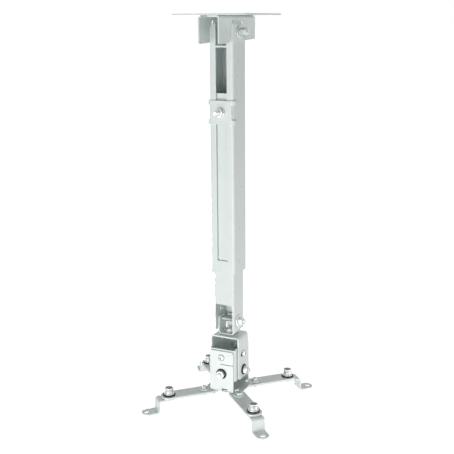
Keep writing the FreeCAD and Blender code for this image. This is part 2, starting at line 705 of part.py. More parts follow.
def guide_slots(body, role, half):
    """Arc slots above a gimbal axis, through both walls that stand across that axis."""
    reach = "(%s + %s)" % (half, OVERRUN)
    low = "(Dim.guide_radius - Dim.guide_slot_width / 2)"
    high = "(Dim.guide_radius + Dim.guide_slot_width / 2)"
    section = rectangle(body, role, "-" + reach, reach, low, high, ("0", GIMBAL_LEVEL, "0"))
    slack = "(180 / pi * Dim.guide_slot_width / Dim.guide_radius)"
    arc_groove(body, section, "H_Axis", "2 * Dim.guide_swing + " + slack)


def gimbal_box():
    """Open box between the head yoke and the hub bracket: pitches in one, rolls in the other."""
    top = "(%s + Dim.gimbal_rise)" % GIMBAL_LEVEL
    foot = "(%s - Dim.gimbal_fall)" % GIMBAL_LEVEL
    body = square_tube("gimbal_box", GIMBAL_HALF_X, GIMBAL_HALF_Y, top, foot,
                       "Dim.gimbal_corner", "Dim.gimbal_wall")
    hole = "Dim.light_bolt + 2 * Dim.hole_play"
    pocket(body, circles(body, "YZ_Plane", [("0", GIMBAL_LEVEL)], hole), "Dim.hub_side")
    pocket(body, circles(body, "XZ_Plane", [("0", GIMBAL_LEVEL)], hole), "Dim.hub_side")
    guide_level = "(%s + Dim.guide_radius)" % GIMBAL_LEVEL
    guide = circles(body, "YZ_Plane", [("0", guide_level)], "Dim.small_bolt + 2 * Dim.hole_play")
    pocket(body, guide, "Dim.hub_side")
    guide_slots(body, "YZ_Plane", GIMBAL_HALF_Y)
    on_head(body, "0", "0", "0", POINTS_UP)
    return keep("gimbal_box", body)


def gimbal_fasteners():
    """Bolts on both gimbal axes, with black washers and nuts on the outside, and the small guide
    bolts that come in from the outside."""
    guide_level = "(%s + Dim.guide_radius)" % GIMBAL_LEVEL
    axes = {"pitch": (HEAD_HALF, "(%s - Dim.gimbal_wall - Dim.seat_play)" % GIMBAL_HALF_X,
                      ((POINTS_RIGHT, POINTS_LEFT, ""), (POINTS_LEFT, POINTS_RIGHT, "-"))),
            "roll": (HUB_HALF, "(%s - Dim.gimbal_wall - Dim.seat_play)" % GIMBAL_HALF_Y,
                     ((POINTS_FRONT, POINTS_BACK, "-"), (POINTS_BACK, POINTS_FRONT, "")))}
    for motion, (outer, inner, sides) in axes.items():
        bolts, washers, nuts, guides, guide_nuts = [], [], [], [], []
        seat = "(%s + Dim.washer_gauge)" % outer
        grip = "(%s - %s + Dim.light_height + Dim.gimbal_tail)" % (seat, inner)
        guide_seat = "(%s + Dim.seat_play)" % outer
        guide_grip = "(%s - %s + Dim.small_height + Dim.bolt_tail)" % (guide_seat, inner)
        for outward, inward, sign in sides:
            bolt = hex_bolt("Dim.light_bolt", "Dim.light_across", "Dim.light_height", grip)
            ring = washer("Dim.light_bolt", "Dim.light_washer", "Dim.washer_gauge")
            nut = hex_nut("Dim.light_bolt", "Dim.light_across", "Dim.light_height")
            guide = pan_bolt("Dim.small_bolt", "Dim.small_head", "Dim.small_head_height", guide_grip)
            guide_nut = hex_nut("Dim.small_bolt", "Dim.small_across", "Dim.small_height")
            spots = ((bolts, bolt, inner, GIMBAL_LEVEL, outward),
                     (washers, ring, outer, GIMBAL_LEVEL, outward),
                     (nuts, nut, seat, GIMBAL_LEVEL, outward),
                     (guides, guide, guide_seat, guide_level, inward),
                     (guide_nuts, guide_nut, inner, guide_level, inward))
            for kind, piece, distance, level, turn in spots:
                x, y = (sign + distance, "0") if motion == "pitch" else ("0", sign + distance)
                kind.append(on_head(piece, x, y, level, turn))
        group(motion + "_bolts", bolts)
        group(motion + "_washers", washers)
        group(motion + "_nuts", nuts)
        group(motion + "_guide_bolts", guides)
        group(motion + "_guide_nuts", guide_nuts)


def hub_bracket():
    """Plate with four eared corners whose front and back edges fold up as cheeks."""
    lip = "(%s + Dim.hub_cheek_rise)" % GIMBAL_LEVEL
    body = channel("hub_bracket", "YZ_Plane", HUB_HALF, HUB_FOOT, lip, HUB_TOP,
                   "Dim.hub_gauge", "Dim.hub_cheek_width", "Dim.fold_radius")
    ends = ["%sDim.hub_cheek_width / 2" % sign for sign in ("-", "")]
    fillet(body, "Y", [(end, lip) for end in ends], "Dim.hub_cheek_corner")
    level = ("0", "0", "(%s - Dim.hub_gauge / 2)" % HUB_TOP)
    depth = "(%s - Dim.fold_radius - Dim.hub_gauge)" % HUB_HALF
    floor = rectangle(body, "XY_Plane", "-" + HUB_HALF, HUB_HALF, "-" + depth, depth, level)
    pad(body, floor, "Dim.hub_gauge")
    signs = [(sign_x, sign_y) for sign_x in ("-", "") for sign_y in ("-", "")]
    corners = [(sign_x + HUB_HALF, sign_y + HUB_HALF) for sign_x, sign_y in signs]
    for corner in corners:
        pad(body, circles(body, "XY_Plane", [corner], "2 * Dim.ear_radius", level), "Dim.hub_gauge")
    locks = [(sign_x + LOCK_PLACE, sign_y + LOCK_PLACE) for sign_x, sign_y in signs]
    screw = "Dim.small_bolt + 2 * Dim.hole_play"
    pocket(body, circles(body, "XY_Plane", corners + locks, screw, level), "2 * Dim.hub_gauge")
    roll = circles(body, "XZ_Plane", [("0", GIMBAL_LEVEL)], "Dim.light_bolt + 2 * Dim.hole_play")
    pocket(body, roll, "Dim.hub_side + " + OVERRUN)
    guide_level = "(%s + Dim.guide_radius)" % GIMBAL_LEVEL
    guide = circles(body, "XZ_Plane", [("0", guide_level)], screw)
    pocket(body, guide, "Dim.hub_side + " + OVERRUN)
    front = ("0", "0", "(%s - Dim.hub_gauge / 2)" % HUB_HALF)
    slit = "(%s + Dim.slit_rise)" % GIMBAL_LEVEL
    edge = "(Dim.hub_cheek_width / 2 + %s)" % OVERRUN
    line = rectangle(body, "XZ_Plane", "-Dim.slit_start", edge, slit + " - Dim.slit_width / 2",
                     slit + " + Dim.slit_width / 2", front)
    pocket(body, line, "2 * Dim.hub_gauge")
    left = "(Dim.fold_window_shift - Dim.fold_window_width / 2)"
    right = "(Dim.fold_window_shift + Dim.fold_window_width / 2)"
    window = rectangle(body, "XZ_Plane", left, right, "(%s + Dim.fold_window_lip)" % HUB_FOOT,
                       "(%s + Dim.fold_window_height)" % HUB_FOOT, ("0", "0", HUB_HALF))
    pocket(body, window, "2 * (Dim.hub_gauge + Dim.fold_radius)")
    on_head(body, "0", "0", "0", POINTS_UP)
    return keep("hub_bracket", body)


def hub_fasteners():
    """Screws at the ears that the arms swing on, and inner screws that lock the arms' tails."""
    under = "(%s - Dim.seat_play)" % ARM_FOOT
    grip = "(%s - %s + Dim.small_height + Dim.bolt_tail)" % (HUB_TOP, under)
    for label, place in (("arm_pivot", HUB_HALF), ("arm_lock", LOCK_PLACE)):
        screws, nuts = [], []
        for sign_x in ("-", ""):
            for sign_y in ("-", ""):
                screw = pan_bolt("Dim.small_bolt", "Dim.small_head", "Dim.small_head_height", grip)
                screws.append(on_head(screw, sign_x + place, sign_y + place, HUB_TOP, POINTS_DOWN))
                nut = hex_nut("Dim.small_bolt", "Dim.small_across", "Dim.small_height")
                nuts.append(on_head(nut, sign_x + place, sign_y + place, under, POINTS_DOWN))
        group(label + "_screws", screws)
        group(label + "_nuts", nuts)


def on_arm(angle, distance):
    """Place of a point on an arm's line, at a distance outward from its pivot at the hub's ear."""
    along = "(%s * sqrt(2) + %s)" % (HUB_HALF, distance)
    turned = "(%d deg + %s)" % (angle, HEAD_TURN)
    return "%s * cos(%s)" % (along, turned), "%s * sin(%s)" % (along, turned)


def arm_heading(angle):
    """Turn of an arm about Z, with the head's own turn."""
    return FreeCAD.Rotation(Z_AXIS, angle + amount("Dim.head_turn"))


def arm(place, angle):
    """Flat bar that swings on its ear screw. An arc slot in its tail takes the lock screw."""
    body = new_body("arm_" + place)
    half = "Dim.arm_width / 2"
    nose = "(Dim.arm_reach + Dim.arm_nose)"
    middle = ("0", "0", "-Dim.arm_gauge / 2")
    pad(body, rectangle(body, "XY_Plane", "-Dim.arm_tail", nose, "-" + half, half, middle), "Dim.arm_gauge")
    corners = [(end, sign + half) for end in ("-Dim.arm_tail", nose) for sign in ("-", "")]
    fillet(body, "Z", corners, "Dim.arm_corner")
    screw = "Dim.small_bolt + 2 * Dim.hole_play"
    pocket(body, circles(body, "XY_Plane", [("0", "0"), ("Dim.arm_reach", "0")], screw, middle),
           "2 * Dim.arm_gauge")
    radius = "(Dim.lock_inset * sqrt(2))"
    slot_half = "Dim.lock_slot_width / 2"
    section = rectangle(body, "XZ_Plane", "-%s - %s" % (radius, slot_half), "-%s + %s" % (radius, slot_half),
                        "-Dim.arm_gauge - " + OVERRUN, OVERRUN)
    slack = "(180 / pi * Dim.lock_slot_width / %s)" % radius
    arc_groove(body, section, "V_Axis", "2 * Dim.arm_swing + " + slack)
    x, y = on_arm(angle, "0")
    placed(body, x, y, ARM_TOP, arm_heading(angle))
    return keep("arm_" + place, body)


def foot(place, angle):
    """Strip folded to a Z under the arm's end, with a hole in its tab for the projector's screw."""
    body = new_body("foot_" + place)
    gauge = "Dim.foot_gauge"
    outer = "Dim.foot_shank"
    inner = "(Dim.foot_shank - Dim.foot_gauge)"
    tab_top = "(-Dim.foot_drop)"
    tab_foot = "(-Dim.foot_drop - Dim.foot_gauge)"
    tip = "(Dim.foot_shank + Dim.foot_tab)"
    section = [("-Dim.foot_heel", "0"), (outer, "0"), (outer, tab_top), (tip, tab_top), (tip, tab_foot),
               (inner, tab_foot), (inner, "-" + gauge), ("-Dim.foot_heel", "-" + gauge)]
    pad(body, polygon(body, "XZ_Plane", section), "Dim.foot_width")
    fillet(body, "Y", [(outer, "0"), (inner, tab_foot)], "Dim.fold_radius + " + gauge)
    fillet(body, "Y", [(outer, tab_top), (inner, "-" + gauge)], "Dim.fold_radius")
    half = "Dim.foot_width / 2"
    ends = [(end, sign + half) for end in ("-Dim.foot_heel", tip) for sign in ("-", "")]
    fillet(body, "Z", ends, "Dim.foot_corner")
    bolt = circles(body, "XY_Plane", [("0", "0")], "Dim.small_bolt + 2 * Dim.hole_play")
    pocket(body, bolt, "Dim.foot_drop")
    hole = circles(body, "XY_Plane", [("Dim.foot_hole_reach", "0")], "Dim.foot_hole", ("0", "0", tab_top))
    pocket(body, hole, "Dim.foot_drop")
    x, y = on_arm(angle, "Dim.arm_reach")
    placed(body, x, y, FOOT_TOP, arm_heading(angle))
    return keep("foot_" + place, body)


def foot_fasteners(place, angle):
    """Screw from below, black pad and tall round cap nut that hold one foot to its arm."""
    x, y = on_arm(angle, "Dim.arm_reach")
    under = "(%s - Dim.foot_gauge - Dim.seat_play)" % FOOT_TOP
    pad_top = "(%s + Dim.pad_height)" % ARM_TOP
    tall = "(Dim.cap_flange_height + Dim.cap_height)"
    grip = "(%s + %s - Dim.cap_recess - %s)" % (pad_top, tall, under)
    screw = pan_bolt("Dim.small_bolt", "Dim.small_head", "Dim.small_head_height", grip)
    keep("foot_screw_" + place, placed(screw, x, y, under, POINTS_UP))
    ring = washer("Dim.small_bolt", "Dim.pad_width", "Dim.pad_height")
    keep("pad_" + place, placed(ring, x, y, ARM_TOP, POINTS_UP))
    flange = cylinder("Dim.cap_flange_width / 2", "Dim.cap_flange_height")
    barrel = cylinder("Dim.cap_width / 2", tall)
    bore = cylinder("Dim.small_bolt / 2 + Dim.thread_play", tall)
    socket_floor = "(%s - Dim.cap_socket_depth)" % tall
    socket = cylinder("Dim.cap_socket_width / 2", "Dim.cap_socket_depth", socket_floor)
    cap = bored(bored(joined([flange, barrel]), bore), socket)
    keep("cap_nut_" + place, placed(cap, x, y, pad_top, POINTS_UP))


def check_document():
    """Stop if any object failed, or any sub-part's shape is missing or not valid."""
    doc.recompute()
    for item in doc.Objects:
        if "Invalid" in item.State or "Error" in item.State:
            raise RuntimeError("%s failed to recompute: %s" % (item.Label, item.State))
    for piece in nodes:
        if piece.Shape.isNull() or not piece.Shape.isValid() or not piece.Shape.Solids:
            raise RuntimeError("%s has no valid shape" % piece.Label)


ceiling_plate()
ceiling_yoke()
outer_tube()
yoke_fasteners()
inner_tube()
clamp_collar()
clamp_fasteners()
knuckle()
knuckle_fasteners()
head_yoke()
gimbal_box()
gimbal_fasteners()
hub_bracket()
hub_fasteners()
for corner_name, corner_angle in ARM_ANGLES.items():
    arm(corner_name, corner_angle)
    foot(corner_name, corner_angle)
    foot_fasteners(corner_name, corner_angle)
check_document()
os.makedirs("parts", exist_ok=True)
for piece in nodes:
    piece.Shape.exportStep(os.path.join("parts", piece.Label + ".step"))
print(len(nodes), "sub-parts written")
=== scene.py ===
"""Looks of a projector ceiling mount: finishes for its sheet metal, turned fasteners and a studio stage.

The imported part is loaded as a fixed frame, in metres. Origin: centre of the ceiling plate's top face,
+Z up, the mast's slotted face towards -Y.
"""

import json
import math

import bmesh
import bpy
from bpy.props import FloatProperty, FloatVectorProperty, PointerProperty
from mathutils import Matrix, Vector


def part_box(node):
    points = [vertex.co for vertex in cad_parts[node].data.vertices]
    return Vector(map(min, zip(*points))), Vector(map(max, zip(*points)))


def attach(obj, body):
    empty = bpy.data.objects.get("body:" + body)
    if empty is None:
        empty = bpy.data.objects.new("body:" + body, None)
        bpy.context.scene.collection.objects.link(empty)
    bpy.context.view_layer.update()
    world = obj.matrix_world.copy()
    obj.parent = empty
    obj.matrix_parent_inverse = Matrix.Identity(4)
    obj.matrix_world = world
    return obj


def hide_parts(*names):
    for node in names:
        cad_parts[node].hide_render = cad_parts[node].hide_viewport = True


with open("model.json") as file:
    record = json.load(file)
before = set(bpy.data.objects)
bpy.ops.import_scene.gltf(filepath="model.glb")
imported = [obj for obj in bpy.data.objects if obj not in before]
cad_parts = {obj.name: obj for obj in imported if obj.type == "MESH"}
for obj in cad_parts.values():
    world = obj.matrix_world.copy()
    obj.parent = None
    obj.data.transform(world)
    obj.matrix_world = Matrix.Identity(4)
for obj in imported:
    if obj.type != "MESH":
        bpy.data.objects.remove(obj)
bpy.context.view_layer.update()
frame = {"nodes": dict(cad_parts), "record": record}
RECORD = frame["record"]

bl_info = {
    "name": "Projector ceiling mount",
    "version": (1, 0, 0),
    "blender": (4, 5, 0),
    "location": "View3D > Sidebar > Ceiling mount",
    "description": "Finishes, fasteners and stage of a projector ceiling mount",
    "category": "Object",
}

MM = 0.001
CORNERS = ("front_left", "front_right", "rear_right", "rear_left")
UP = Vector((0.0, 0.0, 1.0))
WELD_DISTANCE = 0.005 * MM
FLAT_ANGLE = math.radians(0.6)
SMOOTH_ANGLE = math.radians(32)
EDGE_SEGMENTS = 2
HEX_SIDES = 6
HEX_STEPS = 8
ROUND_STEPS = HEX_SIDES * HEX_STEPS
THREAD_STEPS = 4

# Noise seldom leaves this span, so a finish is spread over it
NOISE_SPAN = (0.3, 0.7)

# Noise of each finish: waves in a metre, and detail
ENAMEL_CLOUDS = (45.0, 3.0)
ENAMEL_GLOSS = (160.0, 2.0)
ENAMEL_RIPPLE = (700.0, 2.0)
ZINC_PATCHES = (420.0, 4.0)
ZINC_GLOSS = (900.0, 3.0)
ZINC_LINES = (600.0, 2.0)
NYLON_SCUFFS = (520.0, 5.0)
NYLON_GLOSS = (800.0, 2.0)
NYLON_GRAIN = (2400.0, 2.0)

# Surface of each finish: lowest and highest roughness, then its other values
ENAMEL_ROUGHNESS = (0.27, 0.32)
ENAMEL_COAT = 0.2
ENAMEL_COAT_ROUGHNESS = 0.2
ZINC_ROUGHNESS = (0.3, 0.44)
ZINC_METALLIC = 0.75
ZINC_LINE_HEIGHT = 0.02 * MM
ZINC_LINE_STRETCH = (1.0, 1.0, 6.0)
NYLON_ROUGHNESS = (0.42, 0.6)
NYLON_SPECULAR = 0.3
NYLON_GRAIN_HEIGHT = 0.04 * MM
FULL_RANGE = (0.0, 1.0)

# Hexagons: the chamfer's circle as a share of the width across flats, the raised face of a bolt's
# head by its height, the dish in it by that circle, and a nut's countersink by its height
CROWN_SHARE = 0.95
FACE_SHARE = 0.06
DISH_FLOOR = 0.62
DISH_RIM = 0.68
SINK_SHARE = 0.08

# Screw ends, in pitches from a shank's start or end, and the point's taper in thread depths
THREAD_START = 0.2
THREAD_END = 0.8
POINT_START = 0.3
POINT_TAPER = 1.3

# Washers: rims in shares of their height and of the rounding, and play on the shank in millimetres
RIM_LIMIT = 0.4
RIM_NEAR = 0.3
WASHER_PLAY = 0.25

# Pan heads: flat crown and seat by the radius, straight side and foot by the height
PAN_STEPS = 7
PAN_CROWN = 0.28
PAN_SEAT = 0.97
PAN_SIDE = 0.25
PAN_FOOT = 0.04

# Cross recess: thickness of a wing by its span, and what is left of span and thickness at its floor
WING_SHARE = 0.24
WING_SPAN_LEFT = 0.5
WING_THICKNESS_LEFT = 0.8
CUT_OVERRUN = 0.2 * MM

STUD_HEAD = 4.0 * MM
STUD_ROUND = 0.6 * MM
STUD_SEGMENTS = 3
STUD_PROFILE = 0.5

CAP_BARREL = 5.5 * MM
CAP_LIP = 1.2 * MM
CAP_BORE = 2.55 * MM
CAP_SOCKET = 4.3 * MM
CAP_SOCKET_DEPTH = 4.2 * MM
CAP_ROUND = 0.5 * MM

# Section of a cap nut from the foot of its bore, out, up and back in: a radius and a level, each
# followed by how many roundings it is moved by
CAP_SECTION = (
    ("bore", 0.0, "seat", 0.2),
    ("bore", 1.0, "seat", 0.0),
    ("flange", -0.3, "seat", 0.0),
    ("flange", 0.0, "seat", 0.3),
    ("flange", 0.0, "lip", -0.6),
    ("flange", -0.5, "lip", 0.0),
    ("barrel", 0.4, "lip", 0.0),
    ("barrel", -0.3, "lip", 0.8),
    ("barrel", -0.3, "crown", -2.6),
    ("barrel", 0.0, "crown", -2.1),
    ("barrel", 0.0, "crown", -1.2),
    ("barrel", -0.3, "crown", -0.3),
    ("barrel", -0.9, "crown", 0.0),
    ("socket", 0.4, "crown", 0.0),
    ("socket", 0.0, "crown", -0.4),
    ("socket", 0.0, "floor", 0.3),
    ("socket", -0.3, "floor", 0.0),
    ("bore", 0.4, "floor", 0.0),
    ("bore", 0.0, "floor", -0.4),
)

# Stage: each lamp's place from the point that all lamps look at, and its width, in metres
LAMP_AIM = Vector((0.0, 0.0, -0.25))
LAMPS = {
    "key": (Vector((-0.08, -1.6, -0.42)), 1.2),
    "side": (Vector((0.65, 0.18, -0.36)), 0.5),
    "edge": (Vector((1.13, -0.62, -0.26)), 0.5),
    "back": (Vector((-1.2, 1.4, -0.7)), 0.7),
    "top": (Vector((0.1, 0.1, 1.35)), 1.0),
}
FLOOR_REACH = 300.0
FLOOR_ROUGHNESS = 0.9
SENSOR_WIDTH = 36.0
WHITE = (1.0, 1.0, 1.0, 1.0)

# Nominal sizes of the three screw families, in millimetres, as the solids have them
HEAVY = {"shank": 6.0, "across": 10.0, "head": 5.0, "nut": 10.0, "pitch": 1.0, "play": 0.05}
LIGHT = {"shank": 6.0, "across": 10.0, "head": 4.6, "nut": 4.6, "pitch": 1.0, "play": 0.05}
SMALL = {"shank": 5.0, "across": 8.0, "head": 2.8, "nut": 3.6, "pitch": 0.8, "play": 0.05, "pan": 9.0}

SHEET_METAL = {
    "ceiling": ("ceiling_plate", "ceiling_yoke"),
    "mast": ("outer_tube", "inner_tube"),
    "clamp": ("clamp_collar",),
    "knuckle": ("knuckle",),
    "head": ("head_yoke", "gimbal_box", "hub_bracket"),
    "arms": tuple("arm_" + corner for corner in CORNERS),
    "feet": tuple("foot_" + corner for corner in CORNERS),
}
NODE_BODY = {node: body for body, members in RECORD["behaviour"]["bodies"].items() for node in members}
SLOT_COLOUR = {entry["slot"]: tuple(entry["base_color"]) + (1.0,) for entry in RECORD["materials"]}
JOINT_AXIS = {joint["name"]: joint["axis"] for joint in RECORD["behaviour"]["joints"]}

# The head stands a little turned on its swivel, and its fasteners with it
HEAD_BODIES = ("head", "gimbal", "hub")
HEAD_SPIN = Matrix.Rotation(math.atan2(JOINT_AXIS["head_pitch"][1], JOINT_AXIS["head_pitch"][0]), 4, "Z")
NO_SPIN = Matrix.Identity(4)


class MountFinish(bpy.types.PropertyGroup):
    """Colours and surface of the three finishes."""

    enamel: FloatVectorProperty(
        name="Enamel", description="Colour of the powder coat on the folded sheet",
        default=(0.735, 0.792, 0.777, 1.0), subtype="COLOR", size=4, min=0.0, max=1.0)
    enamel_shade: FloatVectorProperty(
        name="Enamel shade", description="Colour of the coat where it lies a little thinner",
        default=(0.71, 0.772, 0.757, 1.0), subtype="COLOR", size=4, min=0.0, max=1.0)
    enamel_ripple: FloatProperty(
        name="Ripple", description="Height of the coat's fine ripple",
        default=0.008 * MM, min=0.0, unit="LENGTH", precision=6)
    zinc: FloatVectorProperty(
        name="Zinc", description="Colour of the plated screws, nuts and washers",
        default=(0.68, 0.7, 0.695, 1.0), subtype="COLOR", size=4, min=0.0, max=1.0)
    zinc_shade: FloatVectorProperty(
        name="Zinc shade", description="Colour of the plating in its duller patches",
        default=(0.55, 0.57, 0.565, 1.0), subtype="COLOR", size=4, min=0.0, max=1.0)
    nylon: FloatVectorProperty(
        name="Nylon", description="Colour of the black washers and pads",
        default=SLOT_COLOUR["black_nylon"], subtype="COLOR", size=4, min=0.0, max=1.0)
    nylon_shade: FloatVectorProperty(
        name="Nylon shade", description="Colour of the nylon where it is scuffed",
        default=(0.02, 0.02, 0.021, 1.0), subtype="COLOR", size=4, min=0.0, max=1.0)
    edge_round: FloatProperty(
        name="Edge rounding", description="Rounding of the sheet metal's cut edges under the coat",
        default=0.5 * MM, min=0.0, unit="LENGTH", precision=5)


class MountFasteners(bpy.types.PropertyGroup):
    """Shape of the turned pieces."""

    thread_share: FloatProperty(
        name="Thread depth", description="Depth of a thread as a share of its pitch",
        default=0.55, min=0.0, max=0.8, subtype="FACTOR")
    chamfer: FloatProperty(
        name="Hexagon chamfer", description="Slope of the chamfer on hexagon corners",
        default=math.radians(30), min=0.0, max=math.radians(60), subtype="ANGLE")
    washer_round: FloatProperty(
        name="Washer rounding", description="Rounding of the washers' rims",
        default=0.35 * MM, min=0.0, unit="LENGTH", precision=5)
    recess_width: FloatProperty(
        name="Recess width", description="Span of the cross recess in the pan heads",
        default=5.0 * MM, min=0.0, unit="LENGTH", precision=5)
    recess_depth: FloatProperty(
        name="Recess depth", description="Depth of the cross recess in the pan heads",
        default=2.0 * MM, min=0.0, unit="LENGTH", precision=5)


class MountStage(bpy.types.PropertyGroup):
    """Floor, lamps and camera."""

    floor_level: FloatProperty(
        name="Floor level", description="Height of the floor under the ceiling plate",
        default=-1.8, unit="LENGTH")
    floor_colour: FloatVectorProperty(
        name="Floor", description="Colour of the pale floor",
        default=(0.4, 0.4, 0.4, 1.0), subtype="COLOR", size=4, min=0.0, max=1.0)
    floor_white: FloatProperty(
        name="Floor white", description="How white the floor looks to the camera, beside the light on it",
        default=0.94, min=0.0, max=1.0)
    ambient: FloatProperty(
        name="Ambient", description="Strength of the even light from all round",
        default=0.24, min=0.0)
    key_power: FloatProperty(
        name="Key lamp", description="Power of the broad lamp in front",
        default=22.5, min=0.0, unit="POWER")
    side_power: FloatProperty(
        name="Side lamp", description="Power of the lamp low on the right",
        default=2.4, min=0.0, unit="POWER")
    edge_power: FloatProperty(
        name="Edge lamp", description="Power of the small lamp that picks out rounded corners",
        default=2.2, min=0.0, unit="POWER")
    back_power: FloatProperty(
        name="Back lamp", description="Power of the lamp behind on the left",
        default=26.0, min=0.0, unit="POWER")
    top_power: FloatProperty(
        name="Top lamp", description="Power of the broad lamp overhead",
        default=3.6, min=0.0, unit="POWER")
    camera_place: FloatVectorProperty(
        name="Camera place", description="Where the camera stands",
        default=(0.5067, -0.9222, -0.0106), subtype="TRANSLATION", size=3)
    camera_heading: FloatProperty(
        name="Camera heading", description="Turn of the camera about the upright axis",
        default=math.radians(28.904), subtype="ANGLE")
    camera_pitch: FloatProperty(
        name="Camera pitch", description="How far the camera looks down",
        default=math.radians(13.542), subtype="ANGLE")
    camera_roll: FloatProperty(
        name="Camera roll", description="Turn of the camera about its own line of sight",
        default=math.radians(-0.415), subtype="ANGLE")
    camera_lens: FloatProperty(
        name="Focal length", description="Focal length on the sensor's width, in millimetres",
        default=67.25, min=1.0)


# Finishes


def principled(name):
    """A new material with its node tree and its shader."""
    material = bpy.data.materials.new(name)
    material.use_nodes = True
    tree = material.node_tree
    return material, tree, tree.nodes["Principled BSDF"]


def place_noise(tree, waves, stretch=(1.0, 1.0, 1.0)):
    """Noise fixed to the object's own place, so that it moves with the piece."""
    scale, detail = waves
    coordinates = tree.nodes.new("ShaderNodeTexCoord")
    mapping = tree.nodes.new("ShaderNodeMapping")
    mapping.inputs["Scale"].default_value = stretch
    noise = tree.nodes.new("ShaderNodeTexNoise")
    noise.inputs["Scale"].default_value = scale
    noise.inputs["Detail"].default_value = detail
    tree.links.new(coordinates.outputs["Object"], mapping.inputs["Vector"])
    tree.links.new(mapping.outputs["Vector"], noise.inputs["Vector"])
    return noise.outputs["Fac"]


def spread(tree, source, limits):
    """Noise spread between two values."""
    ranged = tree.nodes.new("ShaderNodeMapRange")
    ranged.inputs["From Min"].default_value, ranged.inputs["From Max"].default_value = NOISE_SPAN
    ranged.inputs["To Min"].default_value, ranged.inputs["To Max"].default_value = limits
    tree.links.new(source, ranged.inputs["Value"])
    return ranged.outputs["Result"]


def blend_colours(tree, source, first, second):
    """A colour between two, by noise."""
    mix = tree.nodes.new("ShaderNodeMix")
    mix.data_type = "RGBA"
    colour_a = [socket for socket in mix.inputs if socket.name == "A" and socket.type == "RGBA"][0]
    colour_b = [socket for socket in mix.inputs if socket.name == "B" and socket.type == "RGBA"][0]
    colour_a.default_value = first
    colour_b.default_value = second
    tree.links.new(source, mix.inputs["Factor"])
    return [socket for socket in mix.outputs if socket.type == "RGBA"][0]


def add_bump(tree, shader, source, height):
    """Relief of the given height on a surface, by noise."""
    bump = tree.nodes.new("ShaderNodeBump")
    bump.inputs["Distance"].default_value = height
    tree.links.new(source, bump.inputs["Height"])
    tree.links.new(bump.outputs["Normal"], shader.inputs["Normal"])


def satin_enamel(finish):
    """Satin powder coat: faint cloudiness, uneven gloss and a fine ripple."""
    material, tree, shader = principled("satin_enamel")
    clouds = spread(tree, place_noise(tree, ENAMEL_CLOUDS), FULL_RANGE)
    colour = blend_colours(tree, clouds, tuple(finish.enamel), tuple(finish.enamel_shade))
    tree.links.new(colour, shader.inputs["Base Color"])
    gloss = spread(tree, place_noise(tree, ENAMEL_GLOSS), ENAMEL_ROUGHNESS)
    tree.links.new(gloss, shader.inputs["Roughness"])
    add_bump(tree, shader, place_noise(tree, ENAMEL_RIPPLE), finish.enamel_ripple)
    shader.inputs["Coat Weight"].default_value = ENAMEL_COAT
    shader.inputs["Coat Roughness"].default_value = ENAMEL_COAT_ROUGHNESS
    return material


def bright_zinc(finish):
    """Bright plating: duller patches, uneven gloss and fine drawing lines."""
    material, tree, shader = principled("bright_zinc")
    patches = spread(tree, place_noise(tree, ZINC_PATCHES), FULL_RANGE)
    colour = blend_colours(tree, patches, tuple(finish.zinc), tuple(finish.zinc_shade))
    tree.links.new(colour, shader.inputs["Base Color"])
    gloss = spread(tree, place_noise(tree, ZINC_GLOSS), ZINC_ROUGHNESS)
    tree.links.new(gloss, shader.inputs["Roughness"])
    add_bump(tree, shader, place_noise(tree, ZINC_LINES, ZINC_LINE_STRETCH), ZINC_LINE_HEIGHT)
    shader.inputs["Metallic"].default_value = ZINC_METALLIC
    return material


def moulded_nylon(finish):
    """Moulded nylon: a matt grain with paler scuffs."""
    material, tree, shader = principled("moulded_nylon")
    scuffs = spread(tree, place_noise(tree, NYLON_SCUFFS), FULL_RANGE)
    colour = blend_colours(tree, scuffs, tuple(finish.nylon), tuple(finish.nylon_shade))
    tree.links.new(colour, shader.inputs["Base Color"])
    gloss = spread(tree, place_noise(tree, NYLON_GLOSS), NYLON_ROUGHNESS)
    tree.links.new(gloss, shader.inputs["Roughness"])
    add_bump(tree, shader, place_noise(tree, NYLON_GRAIN), NYLON_GRAIN_HEIGHT)
    shader.inputs["Specular IOR Level"].default_value = NYLON_SPECULAR
    return material


FINISHES = {"white_enamel": satin_enamel, "zinc_plate": bright_zinc, "black_nylon": moulded_nylon}


def finish_for(slot):
    """The finish that a material slot takes, made on its first use and named as its function."""
    maker = FINISHES[slot]
    return bpy.data.materials.get(maker.__name__) or maker(bpy.context.scene.mount_finish)


def coat(piece, slot):
    """Give a piece one finish all over."""
    piece.data.materials.clear()
    piece.data.materials.append(finish_for(slot))


# Sheet metal


def finish_sheet(nodes):
    """Enamel on folded sheet, with its cut edges rounded as they are under a powder coat."""
    width = bpy.context.scene.mount_finish.edge_round
    for name in nodes:
        piece = frame["nodes"][name]
        coat(piece, "white_enamel")
        weld = piece.modifiers.new("weld", "WELD")
        weld.merge_threshold = WELD_DISTANCE
        facets = piece.modifiers.new("flat_faces", "DECIMATE")
        facets.decimate_type = "DISSOLVE"
        facets.angle_limit = FLAT_ANGLE
        edges = piece.modifiers.new("edge_round", "BEVEL")
        edges.width = width
        edges.segments = EDGE_SEGMENTS
        edges.limit_method = "ANGLE"
        edges.angle_limit = SMOOTH_ANGLE
        edges.use_clamp_overlap = True
        normals = piece.modifiers.new("even_normals", "WEIGHTED_NORMAL")
        normals.keep_sharp = False


# Turned pieces


def spin_of(node):
    """How a node's fasteners are turned about the upright axis."""
    return HEAD_SPIN if NODE_BODY[node] in HEAD_BODIES else NO_SPIN


